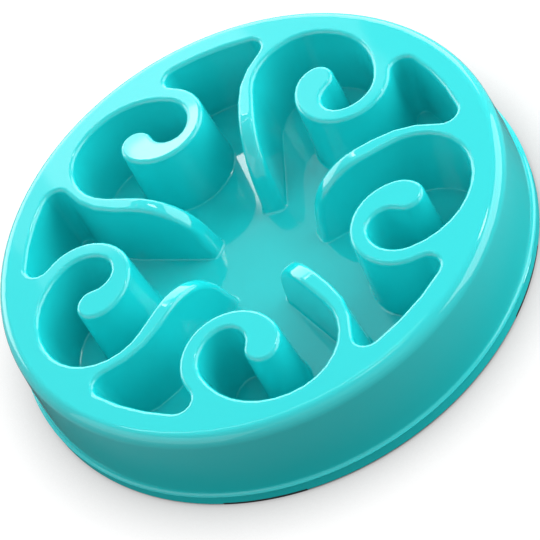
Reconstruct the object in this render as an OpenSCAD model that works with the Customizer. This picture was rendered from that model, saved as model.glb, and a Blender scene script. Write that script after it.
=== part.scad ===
// Slow feeder bowl: one injection-moulded bowl with five spiral walls and five falling fins,
// hollow underneath, standing on five rubber strips seated in its bottom edge.
// The bowl stands on z = 0 with its centre on the Z axis.

/* [Bowl] */
// Diameter over the foot band
base_d = 240; // [210:1:300]
// Height from the bottom edge to the flat ledge
body_h = 40.2; // [34:0.1:60]
// Depth of the feeding floor below the ledge
floor_depth = 34.5; // [28:0.1:50]
// Wall thickness of the moulding
wall = 2.2; // [1.6:0.1:2.6]
// Slope of the outer wall, from upright
flare = 6; // [3:0.5:10]
// Radius of the outer edge of the ledge
rim_round = 5.5; // [3:0.1:8]
// Width of the flat ledge outside the pockets
ledge_w = 8.7; // [6:0.1:14]
// Height of the foot band
band_h = 5.4; // [4:0.1:9]
// How far the foot band stands out from the outer wall
band_step = 0.8; // [0.4:0.1:1.6]
// Radial thickness of the foot band at the bottom
band_w = 5.4; // [5.2:0.1:9]

/* [Spirals and fins] */
// Number of spirals and of fins
sectors = 5; // [5:1:5]
// Direction of the first fin
first_fin = 68.5; // [0:0.5:72]
// Thickness of a fin at its ridge line
fin_w = 7.8; // [6.6:0.1:9]
// Radius of the arc that the fin's ridge falls along
fin_arc = 28.7; // [24:0.1:32]
// Slope at which the ridge meets the floor
fin_end_slope = 77; // [65:1:84]
// Thickness of a spiral arm at the ledge
arm_w = 7; // [6.2:0.1:8]
// Radius of the round end of a spiral arm
bulb_r = 7.7; // [6.4:0.1:8.4]
// Radius of the top edges
edge_round = 2; // [0.8:0.1:2.4]
// Radius of a fin's edges at its nose
nose_round = 3; // [1.5:0.1:3.4]
// Radius where the walls meet the floor
base_round = 1.2; // [0.6:0.1:2.5]
// Radius of the pocket corner beside a fin
fin_corner = 6; // [4:0.1:8]
// Radius of the pocket corner beside a spiral
arm_corner = 5.8; // [4:0.1:7]

/* [Draft angles] */
// Draft of the pocket walls
pocket_draft = 4; // [1:0.1:6]
// Draft of the fin's sides
fin_draft = 2.5; // [1:0.1:6]
// Draft of the wall round a spiral, on the ledge side
cavity_draft = 5.5; // [1:0.1:8]
// Draft of the spiral arm
arm_draft = 2.8; // [1:0.1:5]

/* [Feet] */
// Number of rubber strips
feet = 5; // [3:1:5]
// How far a strip stands below the bottom edge
foot_proud = 1; // [0.6:0.1:2]
// Depth of the seat cut for a strip
foot_seat = 0.6; // [0.4:0.1:1.5]
// Radial width of a strip
foot_w = 4; // [2.5:0.1:4.2]
// Angle that a strip spans
foot_span = 17.3; // [8:0.1:30]
// Direction of the first strip
foot_turn = 28.25; // [0:0.25:72]
// Inset of the strip from the band's outer face
foot_inset = 0.3; // [0.1:0.1:0.8]
// Clearance round a strip in its seat
foot_gap = 0.1; // [0.05:0.05:0.3]

/* [Hidden] */
turquoise = [0.19, 0.76, 0.76];
black = [0.06, 0.06, 0.07];
overrun = 0.2;
least_bend = 0.0001;
turn = 360 / sectors;

// Heights
bottom_z = foot_proud;
top_z = bottom_z + body_h;
floor_z = top_z - floor_depth;

// Outer wall: the band's bottom edge is the widest circle
base_r = base_d / 2;
band_top_r = base_r - band_h * tan(flare);
wall_foot_r = band_top_r - band_step;
wall_height = body_h - band_h;
rim_angle = 90 - flare;
rim_corner_r = wall_foot_r - wall_height * tan(flare);
ledge_r = rim_corner_r - rim_round * tan(rim_angle / 2);
pocket_r = ledge_r - ledge_w;
band_edge = band_step / 2;

// Places in one sector as shares of the pocket radius. X runs outwards along the fin.
fin_line_share = -0.0434;
ridge_start_share = 0.543;
fin_root_shares = [0.622, 0.414];
cavity_root_shares = [0.681, 0.244];
cavity_side_share = 0.33;
spiral_shares = [0.557, -0.489];
spiral_share = 0.221;
eye_shift_shares = [0.008, 0.009];
eye_side_share = 0.88534;
bulb_lag_share = 0.0125;
bulb_link_share = 0.126;
bulb_angle = 57.1;

// Points on each arc of the outline
rim_steps = 3;
corner_steps = 6;
root_steps = 3;
cavity_steps = 8;
eye_steps = 7;
bulb_steps = 10;
link_steps = 3;
arm_steps = 18;
ridge_steps = 8;
round_steps = 3;
base_steps = 2;
edge_arc_steps = 4;
inner_steps = 2;
skirt_facets = 18;
profile_steps = 8;
turn_facets = 90;

function heading(a) = [cos(a), sin(a)];
function angle_of(v) = atan2(v.y, v.x);
function left_of(v) = [-v.y, v.x];

// An outline is a chain of circles [centre, radius] that touch each other.
// A positive radius turns left. The hollow is on the right of the path.
// Centre of the circle of radius r that touches both a and b, on side 1 or -1 of the line a to b
function link_centre(a, b, r, side) =
    let (
        da = abs(a[1] - r),
        db = abs(b[1] - r),
        span = b[0] - a[0],
        len = norm(span),
        along = (da * da - db * db + len * len) / (2 * len),
        across = sqrt(da * da - along * along)
    )
    a[0] + span / len * along + left_of(span / len) * across * side;

// Point where two circles of the chain touch
function touch(a, b) =
    let (dir = (b[0] - a[0]) / norm(b[0] - a[0]))
    a[0] + dir * abs(a[1]) * ((a[1] * b[1] < 0 || abs(a[1]) > abs(b[1])) ? 1 : -1);

// Angle swept on circle c from point p to point q, in its own turning sense
function swept(c, p, q) =
    let (gap = angle_of(q - c[0]) - angle_of(p - c[0]))
    c[1] > 0 ? (gap + 720) % 360 : -((720 - gap) % 360);

// Points on circle c from p to q, without q: [place, direction into the hollow, draft]
function arc_run(c, p, q, steps, drafts) =
    let (from = angle_of(p - c[0]), sweep = swept(c, p, q))
    [for (i = [0 : steps - 1])
        let (share = i / steps, dir = heading(from + sweep * share))
        [c[0] + dir * abs(c[1]), dir * sign(c[1]), drafts[0] + (drafts[1] - drafts[0]) * share]];

// The circles of one sector
fin_y = fin_line_share * pocket_r;
pocket_side_y = fin_y + fin_w / 2;
cavity_side_y = fin_y - fin_w / 2;
root_r = fin_root_shares[1] * pocket_r;
cavity_r = cavity_root_shares[1] * pocket_r;
arm_r = spiral_share * pocket_r;
eye_shift = eye_shift_shares * pocket_r;
bulb_reach = arm_r - bulb_r - bulb_lag_share * pocket_r;
rim = [[0, 0], -pocket_r];
root = [[fin_root_shares[0] * pocket_r, pocket_side_y - root_r], root_r];
cavity = [[cavity_root_shares[0] * pocket_r, cavity_side_y - cavity_r], -cavity_r];
arm = [spiral_shares * pocket_r, arm_r];
eye = [arm[0] + eye_shift, arm_w - arm_r];
bulb = [arm[0] + heading(bulb_angle) * bulb_reach, bulb_r];
fin_pocket = [link_centre(rim, root, -fin_corner, 1), -fin_corner];
cavity_side = [link_centre(cavity, eye, -cavity_side_share * pocket_r, -1), -cavity_side_share * pocket_r];
eye_room = (norm(eye[0] - bulb[0]) - eye[1] - bulb_r) / 2;
eye_side = [link_centre(eye, bulb, -eye_side_share * eye_room, 1), -eye_side_share * eye_room];
bulb_link = [link_centre(bulb, arm, bulb_link_share * pocket_r, -1), bulb_link_share * pocket_r];
arm_pocket = [link_centre(arm, rim, -arm_corner, 1), -arm_corner];
last_pocket = [turned(arm_pocket[0], turn), -arm_corner];

function turned(p, a) = [p.x * cos(a) - p.y * sin(a), p.x * sin(a) + p.y * cos(a)];

// From the rim to the fin's pocket side
rim_start = touch(last_pocket, rim);
rim_end = touch(rim, fin_pocket);
root_start = touch(fin_pocket, root);
root_end = [root[0].x, pocket_side_y];
pocket_run = concat(
    arc_run(rim, rim_start, rim_end, rim_steps, [pocket_draft, pocket_draft]),
    arc_run(fin_pocket, rim_end, root_start, corner_steps, [pocket_draft, fin_draft]),
    arc_run(root, root_start, root_end, root_steps, [fin_draft, fin_draft]),
    [[root_end, [0, 1], fin_draft]]
);

// From the fin's other side round the spiral to the next pocket
cavity_start = [cavity[0].x, cavity_side_y];
cavity_end = touch(cavity, cavity_side);
eye_start = touch(cavity_side, eye);
eye_end = touch(eye, eye_side);
bulb_start = touch(eye_side, bulb);
bulb_end = touch(bulb, bulb_link);
arm_start = touch(bulb_link, arm);
arm_end = touch(arm, arm_pocket);
pocket_start = touch(arm_pocket, rim);
spiral_run = concat(
    arc_run(cavity, cavity_start, cavity_end, cavity_steps, [fin_draft, cavity_draft]),
    arc_run(cavity_side, cavity_end, eye_start, cavity_steps, [cavity_draft, cavity_draft]),
    arc_run(eye, eye_start, eye_end, eye_steps, [cavity_draft, arm_draft]),
    arc_run(eye_side, eye_end, bulb_start, eye_steps, [arm_draft, arm_draft]),
    arc_run(bulb, bulb_start, bulb_end, bulb_steps, [arm_draft, arm_draft]),
    arc_run(bulb_link, bulb_end, arm_start, link_steps, [arm_draft, arm_draft]),
    arc_run(arm, arm_start, arm_end, arm_steps, [arm_draft, arm_draft]),
    arc_run(arm_pocket, arm_end, pocket_start, corner_steps, [arm_draft, pocket_draft])
);

// The fin's ridge falls along an arc, then straight down a steep slope to the nose
ridge_x = ridge_start_share * pocket_r;
arc_end_x = ridge_x - fin_arc * sin(fin_end_slope);
arc_end_depth = fin_arc * (1 - cos(fin_end_slope));
nose_depth = floor_depth - 2 * base_round;
nose_x = arc_end_x - (nose_depth - arc_end_depth) / tan(fin_end_slope);
lift = overrun / tan(fin_end_slope / ridge_steps / 2);

// The hollow is grown by the wall thickness to make the underside, with plainer edges
function grown(grow) = grow > 0;
function edge_steps(grow) = grown(grow) ? 1 : round_steps;
function foot_steps(grow) = grown(grow) ? 1 : base_steps;
function edge_r(grow, share) = grown(grow) ? (fin_w / 2 - grow) / 3 : edge_round + (nose_round - edge_round) * share;

// Stations along the ridge: [x, depth, tilt of the section, radius of its edges]
function stations(grow) = concat(
    [for (j = [1 : ridge_steps])
        let (tilt = fin_end_slope * j / ridge_steps, reach = fin_arc - grow)
        [ridge_x - reach * sin(tilt), fin_arc - reach * cos(tilt), tilt, edge_r(grow, j / ridge_steps)]],
    [[nose_x + grow / sin(fin_end_slope), nose_depth, 90, edge_r(grow, 1)]]
);

// The foot of a column, from the floor up to the wall. Draft t is measured from the depth start.
function column_foot(p, n, t, start, grow) =
    let (steps = foot_steps(grow), r = base_round + grow / 2)
    [for (i = [0 : steps])
        let (
            a = 90 * (1 - i / steps),
            depth = floor_depth + grow - r * (1 - sin(a)),
            q = p + n * (tan(t) * (depth - start) + r * (1 - cos(a)))
        )
        [q.x, q.y, top_z - depth]];

// A column from the floor to just over the ledge. The last point moves by slide.
function full_column(p, n, t, grow, slide) =
    let (
        steps = edge_steps(grow),
        r = grown(grow) ? edge_r(grow, 0) : edge_round,
        over = grown(grow) ? 0 : overrun,
        wall_p = p - n * grow,
        end = wall_p + n * (tan(t) * (grow - over) - r - over / tan(45 / steps)) + slide
    )
    concat(
        column_foot(wall_p, n, t, 0, grow),
        [for (i = [0 : steps - 1])
            let (
                a = 90 * i / steps,
                depth = grow + r * (1 - sin(a)),
                q = wall_p + n * (tan(t) * depth - r * (1 - cos(a)))
            )
            [q.x, q.y, top_z - depth]],
        [[end.x, end.y, top_z - grow + over]]
    );

// A column on side 1 or -1 of the fin, from the floor to the ridge station s
function fin_column(s, side, grow) =
    let (
        steps = edge_steps(grow),
        r = s[3],
        y = fin_y + side * (fin_w / 2 - grow)
    )
    concat(
        column_foot([s[0] + r * sin(s[2]), y], [0, side], fin_draft, 0, grow),
        [for (i = [0 : steps])
            let (
                a = 90 * i / steps,
                depth = s[1] + r * (1 - sin(a)) * cos(s[2])
            )
            [s[0] + r * (1 - sin(a)) * sin(s[2]),
             y + side * (tan(fin_draft) * depth - r * (1 - cos(a))),
             top_z - depth]]
    );

// The fin's columns on one side, from the ledge to the nose
function fin_side(side, grow) = concat(
    [full_column([ridge_x, fin_y + side * fin_w / 2], [0, side], fin_draft, grow, [grown(grow) ? 0 : lift, 0])],
    [for (s = stations(grow)) fin_column(s, side, grow)]
);

// The short columns under the nose, from one side of the fin to the other
function nose_feet(grow) =
    let (
        steps = edge_steps(grow),
        first = foot_steps(grow) + 1,
        columns = [for (side = [1, -1]) let (all = fin_side(side, grow)) all[len(all) - 1]]
    )
    [for (k = [0 : 2 * steps - 1])
        let (
            near = k < steps,
            step = near ? k + 1 : 2 * steps - k,
            a = 90 * step / steps,
            side = near ? 1 : -1,
            p = columns[near ? 0 : 1][first + step],
            slope = fin_draft + (90 - fin_end_slope - fin_draft) * step / steps
        )
        column_foot([p.x, p.y], [-sin(a), side * cos(a)], slope, nose_depth, grow)];

function sector_columns(grow) = concat(
    [for (c = pocket_run) full_column(c[0], c[1], c[2], grow, [0, 0])],
    fin_side(1, grow),
    reversed(fin_side(-1, grow)),
    [for (c = spiral_run) full_column(c[0], c[1], c[2], grow, [0, 0])]
);

fin_gap = -angle_of(rim_start);
function reversed(list) = [for (i = [len(list) - 1 : -1 : 0]) list[i]];
function placed(p, q) = let (t = turned(p, first_fin - turn * q)) [t.x, t.y, p.z];
function quad(a, b, c, d) = [[a, b, c], [a, c, d]];

function arc_points(c, r, from, to, steps) =
    [for (i = [0 : steps]) c + r * heading(from + (to - from) * i / steps)];

// Numbers that describe one of the two meshes: [column_n, row_n, foot_n, nose_n, tip, first point]
function mesh_plan(grow, first) =
    let (steps = edge_steps(grow), foot_n = foot_steps(grow) + 1)
    [len(pocket_run) + len(spiral_run) + 2 * ridge_steps + 4,
     foot_n + steps + 1, foot_n, 2 * steps, len(pocket_run) + ridge_steps + 1, first];
function middle(m) = m[5] + sectors * (m[0] * m[1] + m[3] * m[2]);
function point_count(m) = middle(m) + 1 - m[5];
function at(m, g, r) = m[5] + (g % (sectors * m[0])) * m[1] + r;
function low(m, q, k, r) =
    k == 0 ? at(m, q * m[0] + m[4], r)
    : k == m[3] + 1 ? at(m, q * m[0] + m[4] + 1, r)
    : m[5] + sectors * m[0] * m[1] + (q * m[3] + k - 1) * m[2] + r;
function high(m, q, k) =
    k <= m[3] / 2 ? at(m, q * m[0] + m[4], m[2] + k)
    : at(m, q * m[0] + m[4] + 1, m[2] + m[3] + 1 - k);

function mesh_points(grow) =
    let (columns = sector_columns(grow), feet_rows = nose_feet(grow))
    concat(
        [for (q = [0 : sectors - 1]) for (column = columns) for (p = column) placed(p, q)],
        [for (q = [0 : sectors - 1]) for (column = feet_rows) for (p = column) placed(p, q)],
        [[0, 0, floor_z - grow]]
    );

// Faces of the walls, the ridges and the noses, seen from the material
function wall_faces(m) = [for (g = [0 : sectors * m[0] - 1]) if (g % m[0] != m[4])
    for (r = [0 : m[1] - 2]) each quad(at(m, g, r), at(m, g + 1, r), at(m, g + 1, r + 1), at(m, g, r + 1))];
function ridge_faces(m) = [for (q = [0 : sectors - 1]) for (j = [0 : ridge_steps])
    let (g = q * m[0] + m[4], last = m[1] - 1)
    each quad(at(m, g - j - 1, last), at(m, g - j, last), at(m, g + 1 + j, last), at(m, g + 2 + j, last))];
function nose_faces(m) = [for (q = [0 : sectors - 1]) for (k = [0 : m[3]])
    each concat(
        [for (r = [0 : m[2] - 2]) each quad(low(m, q, k, r), low(m, q, k + 1, r), low(m, q, k + 1, r + 1), low(m, q, k, r + 1))],
        quad(low(m, q, k, m[2] - 1), low(m, q, k + 1, m[2] - 1), high(m, q, k + 1), high(m, q, k))
    )];
function side_faces(m) = concat(wall_faces(m), ridge_faces(m), nose_faces(m));

// The outline of the floor from the nose of fin q to the next nose, and back over the middle
function ground(m, q) =
    let (next = (q + 1) % sectors, tip = m[3] / 2)
    concat(
        [middle(m)],
        [for (k = [tip : m[3]]) low(m, q, k, 0)],
        [for (c = [m[4] + 1 : m[0] - 1]) at(m, q * m[0] + c, 0)],
        [for (c = [0 : m[4]]) at(m, next * m[0] + c, 0)],
        [for (k = [1 : tip]) low(m, next, k, 0)]
    );

// The outline at the top of sector q, which passes over the fin at the start of its ridge
function cover(m, q) = [for (c = [0 : m[0] - 1])
    if (c < m[4] - ridge_steps || c > m[4] + 1 + ridge_steps) at(m, q * m[0] + c, m[1] - 1)];

// The same outline from the start of ridge q to the start of the next ridge
function lid(m, q) =
    let (fore = m[4] - 1 - ridge_steps, next = (q + 1) % sectors)
    concat(
        [at(m, q * m[0] + fore, m[1] - 1)],
        [for (c = [m[4] + 2 + ridge_steps : m[0] - 1]) at(m, q * m[0] + c, m[1] - 1)],
        [for (c = [0 : fore]) at(m, next * m[0] + c, m[1] - 1)]
    );

// Triangles that fill a flat outline with its inside on the right, cut off corner by corner.
// Corners are numbers into flat. The first one stays to the end.
function bend(a, b, c) = cross(c - b, b - a);
function holds(a, b, c, p) = bend(a, b, p) >= 0 && bend(b, c, p) >= 0 && bend(c, a, p) >= 0;
function is_ear(flat, loop, i) =
    let (n = len(loop), a = flat[loop[i - 1]], b = flat[loop[i]], c = flat[loop[(i + 1) % n]])
    bend(a, b, c) > least_bend
    && len([for (k = loop) let (p = flat[k]) if (p != a && p != b && p != c && holds(a, b, c, p)) k]) == 0;
function filled(flat, loop) =
    let (n = len(loop), end = n == 4 ? 3 : n)
    n == 3 ? [loop]
    : let (cut = [for (i = 1, on = is_ear(flat, loop, 1); i < n; i = i + 1, on = i < end && !on && is_ear(flat, loop, i)) on])
    concat(
        [for (i = [1 : n - 1]) if (cut[i - 1]) [loop[i - 1], loop[i], loop[(i + 1) % n]]],
        filled(flat, [for (i = [0 : n - 1]) if (i == 0 || !cut[i - 1]) loop[i]])
    );
function patch(points, loops) =
    let (flat = [for (k = loops[0]) [points[k].x, points[k].y]])
    [for (t = filled(flat, [for (i = [0 : len(flat) - 1]) i])) for (loop = loops) [loop[t[0]], loop[t[1]], loop[t[2]]]];

// Outline of half the space under the bowl, from the foot ring's inner edge up to the ceiling
ring_r = base_r - band_w;
ring_top = bottom_z + band_h - wall;
inner_r = rim_round - wall;
inner_wall = [ledge_r + inner_r * cos(flare), top_z - rim_round + inner_r * sin(flare)];
inner_slope = tan(flare);
ring_meet = (inner_wall.x + (inner_wall.y - ring_top) * inner_slope - ring_r) / (1 + inner_slope);
inner_outline = concat(
    [[ring_r, bottom_z - overrun], [ring_r, ring_top], [ring_r + ring_meet, ring_top + ring_meet]],
    arc_points([ledge_r, top_z - rim_round], inner_r, flare, 90, inner_steps)
);

// The space over the floor and the space under the bowl, as two closed bodies in one mesh
module hollows() {
    upper = mesh_plan(0, 0);
    under = mesh_plan(wall, point_count(upper));
    skirt = point_count(upper) + point_count(under);
    rows = len(inner_outline);
    turns = sectors * skirt_facets;
    function ring(k, r) = skirt + (k % turns) * rows + r;
    skirt_points = [for (k = [0 : turns - 1]) for (p = inner_outline)
        let (a = first_fin - fin_gap - 360 * k / turns) [p.x * cos(a), p.x * sin(a), p.y]];
    skirt_faces = [for (k = [0 : turns - 1]) for (r = [0 : rows - 2])
        each quad(ring(k, r), ring(k + 1, r), ring(k + 1, r + 1), ring(k, r + 1))];
    points = concat(mesh_points(0), mesh_points(wall), skirt_points, [[0, 0, top_z + overrun]]);
    each_sector = [0 : sectors - 1];
    ceiling = patch(points, [for (q = each_sector) concat(
        [for (k = [0 : skirt_facets]) ring(q * skirt_facets + k, rows - 1)],
        [cover(under, (q + 1) % sectors)[0]],
        reversed(cover(under, q))
    )]);
    polyhedron(
        points = points,
        faces = concat(
            side_faces(upper),
            patch(points, [for (q = each_sector) concat([skirt + len(skirt_points)], lid(upper, q))]),
            [for (f = patch(points, [for (q = each_sector) ground(upper, q)])) reversed(f)],
            [for (f = side_faces(under)) reversed(f)],
            patch(points, [for (q = each_sector) ground(under, q)]),
            ceiling,
            skirt_faces,
            [[for (k = [turns - 1 : -1 : 0]) ring(k, 0)]]
        ),
        convexity = 12
    );
}

// Outline of half the bowl's outer body, from the axis outwards
rim_centre = [ledge_r, top_z - rim_round];
shoulder_z = bottom_z + band_h;
cove_r = 2 * band_step;
cove_centre = [wall_foot_r + cove_r / cos(flare) - cove_r * tan(flare), shoulder_z + cove_r];
outer_outline = concat(
    [[0, bottom_z], [base_r, bottom_z]],
    arc_points([band_top_r - band_edge, shoulder_z - band_edge], band_edge, flare, 90, edge_arc_steps),
    arc_points(cove_centre, cove_r, 270, 180 + flare, edge_arc_steps),
    arc_points(rim_centre, rim_round, flare, 90, profile_steps),
    [[0, top_z]]
);

seat_r = base_r - foot_inset - foot_w;
foot_angle = foot_span / 2;
gap_angle = foot_gap / base_r * 180 / PI;

module bowl() {
    color(turquoise)
    difference() {
        difference() {
            rotate_extrude($fn = turn_facets) polygon(outer_outline);
            for (i = [0 : feet - 1])
                rotate(foot_turn + 360 / feet * i - foot_angle - gap_angle)
                translate([0, 0, bottom_z - overrun])
                rotate_extrude(angle = foot_span + 2 * gap_angle, $fn = turn_facets)
                translate([seat_r - foot_gap, 0])
                square([base_r - seat_r + foot_gap + overrun, foot_seat + overrun]);
        }
        hollows();
    }
}

module foot(i) {
    color(black)
    rotate(foot_turn + 360 / feet * i - foot_angle)
    rotate_extrude(angle = foot_span, $fn = turn_facets)
    translate([seat_r, 0])
    square([foot_w, foot_proud + foot_seat]);
}

bowl();
for (i = [0 : feet - 1])
    foot(i);
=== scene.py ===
# %% [markdown]
# A slow feeder bowl on a white studio table
# The bowl is one glossy plastic moulding: a flat ledge, five spiral walls and five fins that fall
# towards the middle, so that a dog has to work the food out of the channels. It could be modelled
# again in Blender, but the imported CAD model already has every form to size. So that model is loaded
# first, and it stays the measure for everything that follows.

# %% Load the CAD frame
import math

import bmesh
import bpy
from mathutils import Matrix, Vector


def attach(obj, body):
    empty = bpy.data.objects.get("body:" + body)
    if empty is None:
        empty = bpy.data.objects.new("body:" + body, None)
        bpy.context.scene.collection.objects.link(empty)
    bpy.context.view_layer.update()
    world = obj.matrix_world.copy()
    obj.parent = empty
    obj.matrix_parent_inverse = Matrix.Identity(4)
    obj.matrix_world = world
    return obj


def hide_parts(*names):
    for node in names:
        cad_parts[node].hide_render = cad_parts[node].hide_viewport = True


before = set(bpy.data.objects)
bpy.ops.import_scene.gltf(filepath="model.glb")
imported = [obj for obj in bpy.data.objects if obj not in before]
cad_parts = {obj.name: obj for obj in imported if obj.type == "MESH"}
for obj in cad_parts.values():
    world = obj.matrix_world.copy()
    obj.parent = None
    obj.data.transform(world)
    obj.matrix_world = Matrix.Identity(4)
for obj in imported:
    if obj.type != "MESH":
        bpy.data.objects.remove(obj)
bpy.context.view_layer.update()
print("CAD nodes:", ", ".join(sorted(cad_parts)))

# %% [markdown]
# Shader maths as plain expressions
# A procedural material is a network of small nodes. They could all be added and linked by hand, but
# then the recipe is lost among the links. The class below wraps one node socket and overloads plus
# and times, so an expression such as 0.03 + marks * 0.03 adds its Math nodes by itself and reads
# like a formula.

# %% A socket that can be calculated with


class Wire:
    """A node's output, with the operators that build Math nodes."""

    def __init__(self, tree, socket):
        self.tree = tree
        self.socket = socket

    def math(self, operation, other):
        return make_node(self.tree, "ShaderNodeMath", {"operation": operation}, {0: self, 1: other}).out(0)

    def __add__(self, other):
        return self.math("ADD", other)

    def __mul__(self, other):
        return self.math("MULTIPLY", other)

    __radd__ = __add__
    __rmul__ = __mul__


# %% Any other node


class Made:
    """A node that make_node has added, whose outputs are taken as wires."""

    def __init__(self, tree, node):
        self.tree = tree
        self.node = node

    def out(self, name):
        return Wire(self.tree, self.node.outputs[name])


def make_node(tree, kind, settings, inputs):
    """Adds a node, applies its settings and fills its sockets with values or wires."""
    node = tree.nodes.new(kind)
    for name, value in settings.items():
        setattr(node, name, value)
    for name, value in inputs.items():
        if isinstance(value, Wire):
            tree.links.new(value.socket, node.inputs[name])
        else:
            node.inputs[name].default_value = value
    return Made(tree, node)


def feed(tree, wire, shader, socket):
    """Links a wire to one of a shader's sockets."""
    tree.links.new(wire.socket, shader.inputs[socket])


# %% [markdown]
# A moulded surface
# Plastic and rubber both come out of a mould, and both get their life from small unevenness: faint
# clouds in the colour, marks in the sheen and a slight relief. Pictures could give that, but noise
# needs no file and has no seam. The noise reads Object coordinates, which are metres fixed to the
# piece, so a scale of 90 means 90 bumps in a metre, about one every centimetre.

# %% A new material, and patterns for it


def new_material(name, ior):
    """Makes a material with one Principled shader and returns it, its tree and the shader node."""
    material = bpy.data.materials.new(name)
    material.use_nodes = True
    shader = material.node_tree.nodes["Principled BSDF"]
    shader.inputs["IOR"].default_value = ior
    return material, material.node_tree, shader


def object_place(tree):
    """Adds the coordinates that stay fixed to the piece."""
    return make_node(tree, "ShaderNodeTexCoord", {}, {}).out("Object")


def noise(tree, place, scale, detail):
    """Adds a noise pattern and returns its level, between 0 and 1."""
    inputs = {"Vector": place, "Scale": scale, "Detail": detail}
    return make_node(tree, "ShaderNodeTexNoise", {}, inputs).out("Fac")


def blend_colours(tree, level, low, high):
    """Mixes two colours, with low where the level is 0 and high where it is 1."""
    first, second, mixed = 6, 7, 2  # the places of the Mix node's colour sockets
    inputs = {"Factor": level, first: low, second: high}
    return make_node(tree, "ShaderNodeMix", {"data_type": "RGBA"}, inputs).out(mixed)


def relief(tree, height, strength, distance):
    """Turns a level into a relief and returns the normal that shows it."""
    inputs = {"Strength": strength, "Distance": distance, "Height": height}
    return make_node(tree, "ShaderNodeBump", {}, inputs).out("Normal")


# %% [markdown]
# Gloss plastic
# The real bowl is coloured through, so its colour hardly changes. What the eye reads as plastic is
# the sheen: handling makes the roughness a little uneven, and the mould leaves a very slight
# waviness that bends the reflections of the lamps. A clear coat could give the gloss too, but this
# plastic has no varnish, so a low roughness on the plain shader is the truer way.

# %% Turquoise plastic
TURQUOISE = (0.014, 0.68, 0.70, 1)
TURQUOISE_DEEP = (0.012, 0.66, 0.68, 1)
PLASTIC_IOR = 1.49
SHEEN_LOW, SHEEN_SPREAD = 0.03, 0.03

plastic, tree, shader = new_material("turquoise_plastic", PLASTIC_IOR)
place = object_place(tree)
cloud = noise(tree, place, scale=14.0, detail=3.0)
feed(tree, blend_colours(tree, cloud, TURQUOISE_DEEP, TURQUOISE), shader, "Base Color")
marks = noise(tree, place, scale=90.0, detail=5.0)
feed(tree, SHEEN_LOW + marks * SHEEN_SPREAD, shader, "Roughness")
waves = noise(tree, place, scale=45.0, detail=1.0)
feed(tree, relief(tree, waves, strength=0.06, distance=0.001), shader, "Normal")
print(plastic.name, "has", len(tree.nodes), "nodes")

# %% [markdown]
# Black rubber
# The feet are strips of soft rubber that keep the bowl from sliding. Rubber is dull, with a fine
# grain that holds a little dust and breaks up the light. One noise drives all three, so that the
# high grains are paler and rougher at the same spots.

# %% Rubber
RUBBER_BLACK = (0.008, 0.009, 0.010, 1)
RUBBER_DUSTY = (0.03, 0.034, 0.036, 1)
RUBBER_IOR = 1.5
DULL_LOW, DULL_SPREAD = 0.55, 0.25

rubber, tree, shader = new_material("black_rubber", RUBBER_IOR)
grain = noise(tree, object_place(tree), scale=900.0, detail=3.0)
feed(tree, blend_colours(tree, grain, RUBBER_BLACK, RUBBER_DUSTY), shader, "Base Color")
feed(tree, DULL_LOW + grain * DULL_SPREAD, shader, "Roughness")
feed(tree, relief(tree, grain, strength=0.3, distance=0.0003), shader, "Normal")
print(rubber.name, "has", len(tree.nodes), "nodes")

# %% [markdown]
# The bowl itself
# On the real bowl every wall flows into its rounded top edge and into the floor. The CAD solid has
# those forms as a faceted mesh of loose triangles. Subdivision would soften it and change its size,
# so a copy is merged into one skin instead and only its shading is made smooth. Real corners stay
# sharp, because edges that turn more than a set angle are marked.

# %% A smooth copy of a CAD node
MERGE_DISTANCE = 1e-6
FLAT_ANGLE = math.radians(0.4)
SHARP_ANGLE = math.radians(38)


def smooth_copy(node, name):
    """Copies a CAD node's mesh as one skin with whole flat faces, smooth between its sharp edges."""
    bm = bmesh.new()
    bm.from_mesh(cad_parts[node].data)
    bmesh.ops.remove_doubles(bm, verts=bm.verts, dist=MERGE_DISTANCE)
    bmesh.ops.dissolve_limit(bm, angle_limit=FLAT_ANGLE, verts=bm.verts, edges=bm.edges)
    for face in bm.faces:
        face.smooth = True
    for edge in bm.edges:
        if len(edge.link_faces) == 2 and edge.calc_face_angle() > SHARP_ANGLE:
            edge.smooth = False
    mesh = bpy.data.meshes.new(name)
    bm.to_mesh(mesh)
    bm.free()
    piece = bpy.data.objects.new(name, mesh)
    bpy.context.scene.collection.objects.link(piece)
    return piece


# %% [markdown]
# Even shading on the ledge
# The wide ledge and the narrow roundings beside it share their corners. With plain smooth shading
# the ledge would look dented there. The Weighted Normal modifier lets the largest faces decide the
# shading at a shared corner, so the ledge stays flat to the eye and the rounding bends into it.
# Clearing the copy's material list first also puts every face back on the first material.

# %% Bowl
LARGE_FACES_DECIDE = 100

bowl = smooth_copy("bowl", "bowl_skin")
weighted = bowl.modifiers.new("even_normals", "WEIGHTED_NORMAL")
weighted.keep_sharp = True
weighted.weight = LARGE_FACES_DECIDE
bowl.data.materials.clear()
bowl.data.materials.append(plastic)
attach(bowl, "root")
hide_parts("bowl")
print("bowl:", len(bowl.data.polygons), "faces")

# %% [markdown]
# The feet
# Each strip sits in its own shallow seat under the bowl's bottom edge, and only its outer side
# shows. Its CAD shape is already right, so the node stays as it is and only its material changes.

# %% Feet keep their CAD shape
feet = [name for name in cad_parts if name.startswith("foot_")]
for name in feet:
    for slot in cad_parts[name].material_slots:
        slot.material = rubber
print("rubber on", ", ".join(feet))

# %% [markdown]
# The table
# The photograph's background is pure white, with only a soft shadow beside the bowl. A white sheet
# under the lamps could give that, but it would also throw light back up on the bowl's outer wall,
# which is dark at the bottom in the photograph. So the sheet is dark to the lamps, and its white is
# a glow that only the camera and mirrored rays see.

# %% A wide sheet
SHEET_REACH = 6.0


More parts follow.
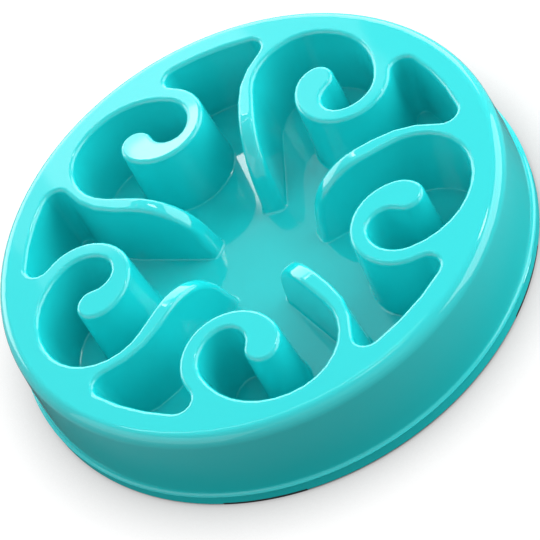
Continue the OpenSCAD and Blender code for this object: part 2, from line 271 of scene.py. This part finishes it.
def wide_sheet(name, reach):
    """Makes a flat square sheet that reaches as far as this from the middle."""
    bm = bmesh.new()
    bmesh.ops.create_grid(bm, x_segments=1, y_segments=1, size=reach)
    mesh = bpy.data.meshes.new(name)
    bm.to_mesh(mesh)
    bm.free()
    sheet = bpy.data.objects.new(name, mesh)
    bpy.context.scene.collection.objects.link(sheet)
    return sheet


table = wide_sheet("table", SHEET_REACH)
print("table:", table.dimensions.x, "m wide")

# %% [markdown]
# Painted shadow and glow
# A glow hides shadows, so the sheet's shadow is painted into its glow. Ambient Occlusion measures how
# much of the sky is open above each point, and that is low right beside the bowl. One range of it
# dims the glow into the painted soft shadow that the camera sees. Another, stronger one dims the glow
# in mirrored rays into painted shade, because the bowl's wall mostly mirrors the shaded part of the table
# at its foot.

# %% What the sheet shows
WHITE = (1, 1, 1, 1)
SHEET_GREY = (0.15, 0.15, 0.15, 1)
SHADOW_REACH, SKY_SAMPLES = 0.3, 16
SEEN_DARK, SEEN_OPEN = 0.20, 0.86
MIRRORED_DARK, MIRRORED_OPEN = 0.76, 1.0
SEEN_GLOW, MIRRORED_GLOW = 0.95, 0.55

table_paint = bpy.data.materials.new("white_sheet")
table_paint.use_nodes = True
tree = table_paint.node_tree
tree.nodes.remove(tree.nodes["Principled BSDF"])
path = make_node(tree, "ShaderNodeLightPath", {}, {})
occlusion_settings = {"samples": SKY_SAMPLES}
occlusion = make_node(tree, "ShaderNodeAmbientOcclusion", occlusion_settings, {"Distance": SHADOW_REACH})
open_sky = occlusion.out("AO")


def between(dark, clear):
    """Stretches the open sky's share from 0, at dark, to 1, at clear."""
    inputs = {"Value": open_sky, "From Min": dark, "From Max": clear}
    return make_node(tree, "ShaderNodeMapRange", {}, inputs).out("Result")


# painted shadow: the glow that the camera sees is dimmed where little sky is open beside the bowl
painted_shadow = between(SEEN_DARK, SEEN_OPEN)
# painted shade in reflections: the glow in mirrored rays is dimmed more strongly beside the bowl
painted_reflection_shade = between(MIRRORED_DARK, MIRRORED_OPEN)
mirrored = path.out("Is Glossy Ray") + path.out("Is Transmission Ray")
strength = path.out("Is Camera Ray") * painted_shadow * SEEN_GLOW + mirrored * painted_reflection_shade * MIRRORED_GLOW
print("the sheet's glow takes", len(tree.nodes), "nodes")

# %% The sheet's material
matt = make_node(tree, "ShaderNodeBsdfDiffuse", {}, {"Color": SHEET_GREY})
glow = make_node(tree, "ShaderNodeEmission", {}, {"Color": WHITE, "Strength": strength})
both = make_node(tree, "ShaderNodeAddShader", {}, {0: matt.out("BSDF"), 1: glow.out("Emission")})
feed(tree, both.out(0), tree.nodes["Material Output"], "Surface")
table.data.materials.append(table_paint)
print(table_paint.name, "is on", table.name)

# %% [markdown]
# The room
# The even light in the photograph looks like that of a white room. Its walls could be built, but a
# white world does the same. The camera and mirrored rays see it at full white, and to all other rays
# it gives a third of that, so that the lamps can still shape the bowl and its colour renders about
# as it is written.

# %% World
ROOM_LIGHT = 0.33

scene = bpy.context.scene
scene.view_settings.view_transform = "Standard"
world = bpy.data.worlds.new("white_room")
world.use_nodes = True
scene.world = world
tree = world.node_tree
sky = tree.nodes["Background"]
sky.inputs["Color"].default_value = WHITE
path = make_node(tree, "ShaderNodeLightPath", {}, {})
seen = path.out("Is Camera Ray") + path.out("Is Glossy Ray") + path.out("Is Transmission Ray")
feed(tree, ROOM_LIGHT + seen * (1 - ROOM_LIGHT), sky, "Strength")
print("room light:", ROOM_LIGHT)

# %% [markdown]
# Lamps
# A glossy form shows its lamps: each highlight in the photograph points back along its mirrored ray
# to the lamp that made it. So the lamps stand in those directions, given as an azimuth, where 90 is
# behind the bowl, and an elevation. A lamp's power follows from its area and from how bright its
# face is, and that brightness was set lamp by lamp until the shades agreed with the photograph.

# %% A soft lamp
AIM = Vector((0, 0, 0.03))


def soft_lamp(name, azimuth, elevation, distance, size, brightness):
    """Adds a rectangular lamp that faces the bowl, from a direction in degrees and a distance."""
    lamp = bpy.data.lights.new(name, "AREA")
    lamp.shape = "RECTANGLE"
    lamp.size, lamp.size_y = size
    lamp.energy = brightness * math.pi * size[0] * size[1]
    holder = bpy.data.objects.new(name, lamp)
    around, up = math.radians(azimuth), math.radians(elevation)
    level = math.cos(up)
    way = Vector((level * math.cos(around), level * math.sin(around), math.sin(up)))
    holder.location = way * distance + AIM
    holder.rotation_euler = (-way).to_track_quat("-Z", "Y").to_euler()
    holder.visible_camera = False
    scene.collection.objects.link(holder)


# %% [markdown]
# Panels and highlights
# Four wide panels stand close and give the walls their broad shades. Six small lamps stand far off,
# where they keep their direction from every point of the bowl: one along the rim, one along the
# upper edges, one high up, and three inside each other for the white wedge on the floor and the
# bright end of the first spiral.

# %% All the lamps
LAMPS = (
    # name, azimuth, elevation, distance, width and height, brightness
    ("back_panel", 90, 20, 1.5, (3.0, 0.9), 3.5),
    ("right_panel", -3, 28, 1.4, (1.7, 1.1), 3.4),
    ("left_panel", 195, 33, 1.4, (1.6, 1.0), 1.0),
    ("front_panel", 270, 50, 1.4, (1.2, 0.8), 0.3),
    ("rim_light", 42, 57.5, 6.0, (1.7, 0.35), 11.0),
    ("edge_light", 100, 55.5, 6.0, (2.2, 0.25), 4.0),
    ("high_light", 72, 76, 6.0, (0.7, 0.9), 4.0),
    ("spot_core", 90.3, 42.9, 6.0, (0.42, 0.36), 7.2),
    ("spot_haze", 91, 41.2, 6.0, (0.9, 0.5), 1.4),
    ("wide_haze", 90, 40.2, 6.0, (1.5, 0.8), 0.9),
)
for lamp_values in LAMPS:
    soft_lamp(*lamp_values)
print("lamps:", len(LAMPS))

# %% [markdown]
# Camera
# The camera stands where the photograph was taken from. It could be placed by eye, but the five-fold
# pattern and the round rim fix it: its place, its three directions and its focal length were worked
# out so that both fall on the photograph's. The picture leans, so RIGHT and DOWN are turned too.

# %% Camera
RIGHT = Vector((0.8542, -0.3808, -0.3539))
DOWN = Vector((-0.5199, -0.6256, -0.5815))
AHEAD = Vector((0.0, 0.6807, -0.7324))
CAMERA_PLACE = Vector((-0.00248, -0.55598, 0.5971))
SENSOR_MM = 36
FOCAL_PIXELS = 1847
PICTURE_PIXELS = 540

lens = bpy.data.cameras.new("camera")
lens.sensor_width = SENSOR_MM
lens.lens = SENSOR_MM * FOCAL_PIXELS / PICTURE_PIXELS
camera = bpy.data.objects.new("camera", lens)
turn = Matrix((RIGHT, -DOWN, -AHEAD)).transposed().to_4x4()
camera.matrix_world = Matrix.Translation(CAMERA_PLACE) @ turn
scene.collection.objects.link(camera)
scene.camera = camera
print("lens:", round(lens.lens, 1), "mm")
